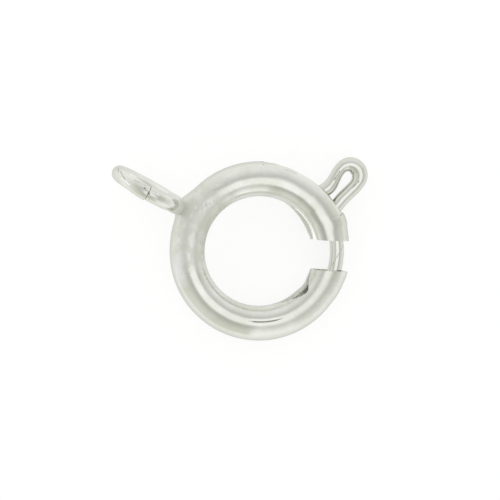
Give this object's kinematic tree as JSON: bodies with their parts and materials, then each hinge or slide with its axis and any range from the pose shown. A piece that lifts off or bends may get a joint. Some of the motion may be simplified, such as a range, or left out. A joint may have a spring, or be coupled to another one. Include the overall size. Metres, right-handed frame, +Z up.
{
  "type": "spring ring clasp",
  "caption": "Small silver spring ring clasp: bent tube with a gap, a sprung wire bolt with a loop trigger, and a soldered end ring.",
  "frame": {"origin": "centre of the clasp ring, in the middle of the tube", "axes": "+Z up from the surface the clasp lies on, -X from the ring's centre to the end ring; the clasp leans about 6 degrees, as it rests on the end ring"},
  "size_m": [0.0086, 0.0073, 0.0027],
  "materials": {
    "silver_tube": "polished silver, soft from wear",
    "silver_wire": "polished silver wire",
    "spring_steel": "drawn spring wire"
  },
  "bodies": {
    "ring": {"ring_tube": "silver_tube", "coil_spring": "spring_steel"},
    "bolt": {"trigger_bolt": "silver_wire"}
  },
  "joints": [
    {"name": "bolt_slide_round", "type": "hinge", "parent": "ring", "child": "bolt", "pos_m": [0, 0, 0], "axis": [0.114, 0, 0.9935], "range_deg": [0, 30], "stiffness_Nm_per_rad": 0.002, "deforming": ["coil_spring"]}
  ]
}
